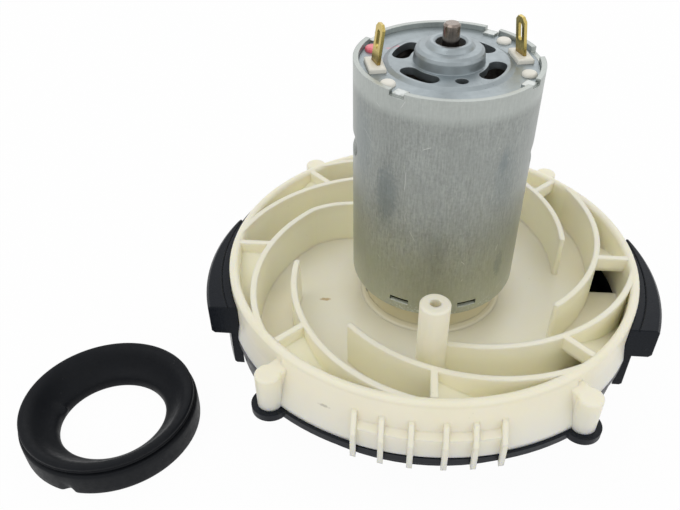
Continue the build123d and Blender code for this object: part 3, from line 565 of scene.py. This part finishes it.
def plain_moulding(name, tone, rough, edge=0.2 * MM, dust=0.0, shine=0.4):
    """Plastic or rubber with a fine grain and a little dust. rough holds its lowest and highest roughness."""
    low, high = rough
    material, tree, shader, place = finish(name, IOR=1.5, Specular_IOR_Level=shine)
    cloud = use_effect(tree, "Mottle", place, Scale=140.0)
    base = tinted(tree, tone, cloud, 0.4, shade(tone, 1.5))
    specks = use_effect(tree, "Specks", place, Scale=1100.0, Size=0.13)
    base = tinted(tree, base, specks, dust, dust_grey)
    feed(tree, shader, base, use_effect(tree, "Mottle", place, Scale=900.0, Low=low, High=high))
    grain = use_effect(tree, "Mottle", place, Scale=2250.0)
    relief(tree, shader, grain, 0.02 * MM, edge, 0.5)
    return material


def card_moulding():
    """White moulding, darkened below the cap."""
    material, tree, shader, place = finish("White moulded plastic", IOR=1.5, Specular_IOR_Level=0.4)
    cloud = use_effect(tree, "Mottle", place, Scale=140.0)
    base = blended(tree, cloud, card_cream, card_white)
    specks = use_effect(tree, "Specks", place, Scale=1100.0, Size=0.13)
    base = tinted(tree, base, specks, 0.15, dust_grey)
    # Darker below the cap
    inside = ranged(tree, height_of(tree, place), cap_plane - 1.0 * MM, cap_plane - 1.3 * MM)
    patchy = use_effect(tree, "Mottle", place, Scale=500.0, Low=0.85)
    base = tinted(tree, base, inside, patchy, below_cap_black)
    feed(tree, shader, base, ranged(tree, cloud, 0.0, 1.0, 0.35, 0.5))
    grain = use_effect(tree, "Mottle", place, Scale=2250.0)
    relief(tree, shader, grain, 0.02 * MM, 0.25 * MM, 0.5)
    return material


def wire_enamel():
    """Enamelled copper wire, brownish red and glossy, laid in rounds about the shaft."""
    detail = bpy.context.scene.motor_detail
    material, tree, shader, place = finish(
        "Enamelled copper", Metallic=0.35, Coat_Weight=0.2, Coat_Roughness=0.15)
    cloud = use_effect(tree, "Mottle", place, Scale=1200.0)
    wander = use_effect(tree, "Mottle", place, Scale=260.0, High=2.0 * detail.wire)
    rounds = product(tree, total(tree, reach_of(tree, place), wander), 2 * pi / detail.wire)
    strands = ranged(tree, maths(tree, "SINE", rounds), -1.0, 1.0)
    base = blended(tree, cloud, wire_red, wire_brown)
    base = blended(tree, ranged(tree, strands, 0.35, 0.0, 0.0, 0.8), base, wire_gap)
    feed(tree, shader, base, ranged(tree, cloud, 0.0, 1.0, 0.22, 0.4))
    relief(tree, shader, strands, 0.4 * detail.wire, 0.1 * MM)
    return material


def paint_material():
    """Glossy red paint, paler where it is thin."""
    tones = bpy.context.scene.motor_colours
    material, tree, shader, place = finish("Red paint", Coat_Weight=0.3)
    cloud = use_effect(tree, "Mottle", place, Scale=1500.0)
    base = tinted(tree, tones.paint, cloud, 0.6, thin_paint)
    feed(tree, shader, base, ranged(tree, cloud, 0.0, 1.0, 0.25, 0.45))
    relief(tree, shader, cloud, 0.03 * MM, 0.1 * MM, 0.4)
    return material


def give(material, *nodes):
    """Puts a material on CAD nodes."""
    for name in nodes:
        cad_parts[name].material_slots[0].material = material


def spot_at(radius, bearing, height):
    """Point at a distance and a bearing about an axis, and at a height."""
    return Vector((radius * cos(radians(bearing)), radius * sin(radians(bearing)), height))


def spun(section, steps):
    """A closed section of distances and heights, spun once round the axis."""
    form = bmesh.new()
    points = [form.verts.new((reach, 0.0, height)) for reach, height in section]
    edges = [form.edges.new((points[place - 1], points[place])) for place in range(len(points))]
    bmesh.ops.spin(form, geom=points + edges, cent=(0, 0, 0), axis=(0, 0, 1), dvec=(0, 0, 0), angle=2 * pi,
                   steps=steps, use_merge=True)
    bmesh.ops.remove_doubles(form, verts=form.verts, dist=0.001 * MM)
    bmesh.ops.recalc_face_normals(form, faces=form.faces)
    return form


def new_piece(name, form, material, body, slot, *stood_for):
    """Turns a finished form into a piece that rides on a body."""
    mesh = bpy.data.meshes.new(name)
    form.to_mesh(mesh)
    form.free()
    mesh.materials.append(material)
    mesh.shade_smooth()
    mesh.set_sharp_from_angle(angle=radians(38))
    piece = bpy.data.objects.new(name, mesh)
    bpy.context.scene.collection.objects.link(piece)
    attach(piece, body)
    if stood_for:
        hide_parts(*stood_for)
    return piece


class MOTOR_OT_stage(bpy.types.Operator):
    """Floor, even light, lamps and the camera"""

    bl_idname = "motor.stage"
    bl_label = "Stage"

    def execute(self, context):
        stage = context.scene.motor_stage
        context.scene.view_settings.view_transform = "Standard"
        self.make_world(context, stage)
        self.make_floor(context)
        self.make_lamps(context, stage)
        self.make_camera(context, stage)
        return {"FINISHED"}

    def make_world(self, context, stage):
        """Even light on the object, and plain white where the world itself is seen."""
        world = bpy.data.worlds.new("Studio")
        context.scene.world = world
        world.use_nodes = True
        tree = world.node_tree
        light = tree.nodes["Background"]
        light.inputs["Color"].default_value = full_white
        light.inputs["Strength"].default_value = stage.sky
        seen = made_node(tree, "ShaderNodeBackground", {"Color": full_white, "Strength": 1.0})
        mixed = made_node(tree, "ShaderNodeMixShader", {
            0: seen_rays(tree), 1: light.outputs[0], 2: seen.outputs[0]})
        tree.links.new(mixed.outputs[0], tree.nodes["World Output"].inputs["Surface"])

    def make_floor(self, context):
        """White paper just below the object, which glows where it is seen and keeps a faint shadow."""
        form = bmesh.new()
        bmesh.ops.create_grid(form, x_segments=2, y_segments=2, size=1.6)
        mesh = bpy.data.meshes.new("floor")
        form.to_mesh(mesh)
        form.free()
        mesh.transform(Matrix.Translation((0.0, 0.0, -0.05 * MM)))
        floor = bpy.data.objects.new("floor", mesh)
        context.scene.collection.objects.link(floor)
        material, tree, shader = new_material(
            "White paper", Base_Color=paper_white, Roughness=0.9, Specular_IOR_Level=0.0)
        glow = made_node(tree, "ShaderNodeEmission", {"Color": full_white, "Strength": 1.0})
        mixed = made_node(tree, "ShaderNodeMixShader", {
            0: product(tree, seen_rays(tree), 0.97), 1: shader.outputs[0], 2: glow.outputs[0]})
        tree.links.new(mixed.outputs[0], tree.nodes["Material Output"].inputs["Surface"])
        mesh.materials.append(material)

    def make_lamps(self, context, stage):
        """Three square lamps that look at the middle of the motor's foot."""
        aim = Vector((0.0, 0.0, 0.03))
        lamp_size = 0.5
        for name, place, power in (
                ("key lamp", (-0.35, -0.25, 0.75), stage.key),
                ("fill lamp", (0.55, -0.35, 0.35), stage.fill),
                ("back lamp", (0.10, 0.60, 0.55), stage.fill)):
            data = bpy.data.lights.new(name, "AREA")
            data.size = lamp_size
            data.energy = power
            lamp = bpy.data.objects.new(name, data)
            lamp.location = place
            lamp.rotation_euler = (Vector(place) - aim).to_track_quat("Z", "Y").to_euler()
            context.scene.collection.objects.link(lamp)

    def make_camera(self, context, stage):
        """Camera at the photograph's viewing angle."""
        data = bpy.data.cameras.new("camera")
        data.sensor_width = 36.0
        data.lens = stage.lens_mm
        data.shift_x, data.shift_y = stage.camera_shift
        data.clip_start, data.clip_end = 0.01, 10.0
        camera = bpy.data.objects.new("camera", data)
        camera.matrix_world = (
            Matrix.Translation(stage.camera_place) @ Matrix.Rotation(stage.camera_yaw, 4, "Z")
            @ Matrix.Rotation(pi / 2 - stage.camera_pitch, 4, "X")
            @ Matrix.Rotation(stage.camera_roll, 4, "Z"))
        context.scene.collection.objects.link(camera)
        context.scene.camera = camera


class MOTOR_OT_diffuser(bpy.types.Operator):
    """Finish of the cream diffuser, with the hollow curve at its pedestal's foot"""

    bl_idname = "motor.diffuser"
    bl_label = "Diffuser"

    def execute(self, context):
        give(cream_plastic("Cream moulded plastic", 0.4), "diffuser")
        self.foot_cove(cream_plastic("Cream plastic of the cove", 0.0))
        return {"FINISHED"}

    def foot_cove(self, plastic):
        """Ring of hollow section in the corner of deck and pedestal."""
        section = [(pedestal_reach + out * MM, deck_height + up * MM) for out, up in cove_section_mm]
        new_piece("pedestal_cove", spun(section, cove_steps), plastic, "housing", "cream_plastic")


class MOTOR_OT_fan_cover(bpy.types.Operator):
    """Finish of the black fan cover, the impeller and its hub"""

    bl_idname = "motor.fan_cover"
    bl_label = "Fan cover and impeller"

    def execute(self, context):
        tones = context.scene.motor_colours
        black = plain_moulding("Black moulded plastic", tones.buffer, (0.28, 0.45), dust=0.08, shine=0.2)
        give(black, "fan_cover")
        give(plain_moulding("Grey moulded plastic", impeller_grey, (0.35, 0.5), dust=0.1), "impeller")
        give(plain_metal("Turned brass", tones.brass, (0.22, 0.36), turned_fine), "impeller_hub")
        return {"FINISHED"}


class MOTOR_OT_side_pads(bpy.types.Operator):
    """Rubber buffers on both sides of the diffuser"""

    bl_idname = "motor.side_pads"
    bl_label = "Side buffers"

    def execute(self, context):
        rubber = plain_moulding("Satin black rubber", context.scene.motor_colours.buffer, (0.22, 0.34),
                                edge=0.45 * MM, dust=0.10, shine=0.14)
        give(rubber, "side_pad_right", "side_pad_left")
        return {"FINISHED"}


class MOTOR_OT_can(bpy.types.Operator):
    """Finish of the motor can, with the bent lips of its slots"""

    bl_idname = "motor.can"
    bl_label = "Motor can"

    def execute(self, context):
        metal = can_metal()
        give(metal, "motor_can")
        self.slot_lips(metal)
        return {"FINISHED"}

    def slot_lips(self, metal):
        """Lower edge of each slot, bent into the can as a sloping lip."""
        form = bmesh.new()
        lip = (Matrix.Translation((lip_reach, 0.0, lip_height)) @ Matrix.Rotation(lip_slope, 4, "Y")
               @ Matrix.Diagonal((lip_depth, lip_length, 1.0, 1.0)))
        for bearing in slot_bearings:
            bmesh.ops.create_grid(form, x_segments=1, y_segments=1, size=0.5,
                                  matrix=Matrix.Rotation(radians(bearing), 4, "Z") @ lip)
        bmesh.ops.solidify(form, geom=form.faces[:], thickness=lip_wall)
        bmesh.ops.recalc_face_normals(form, faces=form.faces)
        new_piece("slot_lips", form, metal, "housing", "zinc_steel")


class MOTOR_OT_end_cap(bpy.types.Operator):
    """Finish of the end cap, the terminals and the brush card, with the dab of paint"""

    bl_idname = "motor.end_cap"
    bl_label = "End cap"

    def execute(self, context):
        give(cap_metal(), "end_cap")
        give(card_moulding(), "brush_card")
        give(terminal_brass(), "terminal_right", "terminal_left")
        self.dab()
        return {"FINISHED"}

    def dab(self):
        """Thin coat of paint over the back left stake head."""
        form = bmesh.new()
        middle = spot_at(stake_circle, painted_stake, cap_plane + coat_height / 2)
        bmesh.ops.create_cone(form, cap_ends=True, segments=40, radius1=coat_radius, radius2=coat_radius,
                              depth=coat_height, matrix=Matrix.Translation(middle))
        shoulder = [edge for edge in form.edges if min(point.co.z for point in edge.verts) > middle.z]
        bmesh.ops.bevel(form, geom=shoulder, offset=coat_edge, offset_type="OFFSET", segments=5, profile=0.5,
                        affect="EDGES", clamp_overlap=True, material=-1)
        new_piece("paint_dab", form, paint_material(), "housing", "white_plastic")


class MOTOR_OT_rotor(bpy.types.Operator):
    """Shaft, armature, commutator and their washers"""

    bl_idname = "motor.rotor"
    bl_label = "Rotor"

    def execute(self, context):
        give(plain_metal("Dark ground steel", shaft_steel, (0.12, 0.26), along_shaft), "shaft")
        give(plain_metal("Stacked laminations", core_steel, (0.35, 0.5), turned_fine), "armature_core")
        give(wire_enamel(), "armature_windings")
        give(plain_metal("Commutator copper", bar_copper, (0.25, 0.4), turned_coarse), "commutator")
        give(plain_moulding("Brown moulding", hub_brown, (0.3, 0.45)), "commutator_hub")
        fibre = plain_moulding("Pressed fibre", fibre_brown, (0.5, 0.7), shine=0.15)
        give(fibre, "core_insulators", "thrust_washers")
        return {"FINISHED"}


class MOTOR_OT_field(bpy.types.Operator):
    """Magnets, clips, bearings, brushes, brush boxes, springs and screws"""

    bl_idname = "motor.field"
    bl_label = "Field and brushes"

    def execute(self, context):
        give(plain_moulding("Ferrite", magnet_grey, (0.45, 0.65)), "magnet_front", "magnet_back")
        give(plain_metal("Spring steel", spring_steel, (0.15, 0.28)), "magnet_clip_right", "magnet_clip_left",
             "brush_spring_right", "brush_spring_left", "motor_screws", "cover_screws")
        give(plain_metal("Oiled bronze", bearing_bronze, (0.25, 0.42)), "front_bearing", "rear_bearing")
        give(plain_moulding("Pressed carbon", brush_black, (0.4, 0.6)), "brush_right", "brush_left")
        give(plain_metal("Folded brass", context.scene.motor_colours.brass, (0.25, 0.4)), "brush_box_right",
             "brush_box_left")
        return {"FINISHED"}


class MOTOR_OT_seal_ring(bpy.types.Operator):
    """Loose rubber seal ring with its funnel top, its grooves, its nub and its notch"""

    bl_idname = "motor.seal_ring"
    bl_label = "Seal ring"

    def execute(self, context):
        tones, detail = context.scene.motor_colours, context.scene.motor_detail
        rubber = plain_moulding("Matte black rubber", tones.seal, (0.42, 0.58), dust=0.14, shine=0.13)
        give(rubber, "seal_ring")
        form = spun([(ring_radius - inset * MM, height * MM) for inset, height in ring_section_mm],
                    detail.ring_steps)
        self.push(form, *ring_nub)
        self.push(form, *ring_notch)
        self.lay(form, detail.ring_oval)
        piece = new_piece("seal_ring_soft", form, rubber, "seal_ring", "seal_rubber", "seal_ring")
        smooth = piece.modifiers.new("Smooth section", "SUBSURF")
        smooth.levels = smooth.render_levels = 1
        return {"FINISHED"}

    def push(self, form, bearing, radius, height, shift):
        """Moves the points near one spot, by a shift that turns with the spot's bearing."""
        spot = spot_at(radius, bearing, height)
        near = [point for point in form.verts if (point.co - spot).length < shift_reach]
        bmesh.ops.translate(form, verts=near, vec=Matrix.Rotation(radians(bearing), 3, "Z") @ Vector(shift))

    def lay(self, form, oval):
        """Draws the ring out of round along its longer way, and lays it in its place."""
        turn = Matrix.Rotation(radians(oval_bearing), 4, "Z")
        drawn = turn @ Matrix.Diagonal((1 + oval, 1 - oval, 1.0, 1.0)) @ turn.inverted()
        place = Matrix.Translation((ring_middle.x, ring_middle.y, 0.0))
        bmesh.ops.transform(form, verts=form.verts, matrix=place @ drawn)


class MOTOR_PT_panel(bpy.types.Panel):
    """Lists the motor's pieces and settings"""

    bl_idname = "MOTOR_PT_panel"
    bl_label = "Vacuum cleaner motor"
    bl_space_type = "VIEW_3D"
    bl_region_type = "UI"
    bl_category = "Motor"

    def draw(self, context):
        for operator in operators:
            self.layout.operator(operator.bl_idname)
        for settings in (context.scene.motor_colours, context.scene.motor_detail, context.scene.motor_stage):
            box = self.layout.box()
            for name in settings.__annotations__:
                box.prop(settings, name)


operators = (MOTOR_OT_stage, MOTOR_OT_diffuser, MOTOR_OT_fan_cover, MOTOR_OT_side_pads, MOTOR_OT_can,
             MOTOR_OT_end_cap, MOTOR_OT_rotor, MOTOR_OT_field, MOTOR_OT_seal_ring)
settings_groups = {"motor_colours": MotorColours, "motor_detail": MotorDetail, "motor_stage": MotorStage}


def register():
    """Registers the settings, the operators and the panel."""
    for name, group in settings_groups.items():
        bpy.utils.register_class(group)
        setattr(bpy.types.Scene, name, bpy.props.PointerProperty(type=group))
    for operator in operators:
        bpy.utils.register_class(operator)
    bpy.utils.register_class(MOTOR_PT_panel)


def unregister():
    """Takes out what register put in."""
    bpy.utils.unregister_class(MOTOR_PT_panel)
    for operator in reversed(operators):
        bpy.utils.unregister_class(operator)
    for name, group in settings_groups.items():
        delattr(bpy.types.Scene, name)
        bpy.utils.unregister_class(group)


def main():
    """Builds everything."""
    register()
    bpy.ops.motor.stage()
    bpy.ops.motor.diffuser()
    bpy.ops.motor.fan_cover()
    bpy.ops.motor.side_pads()
    bpy.ops.motor.can()
    bpy.ops.motor.end_cap()
    bpy.ops.motor.rotor()
    bpy.ops.motor.field()
    bpy.ops.motor.seal_ring()


if __name__ == "__main__":
    main()
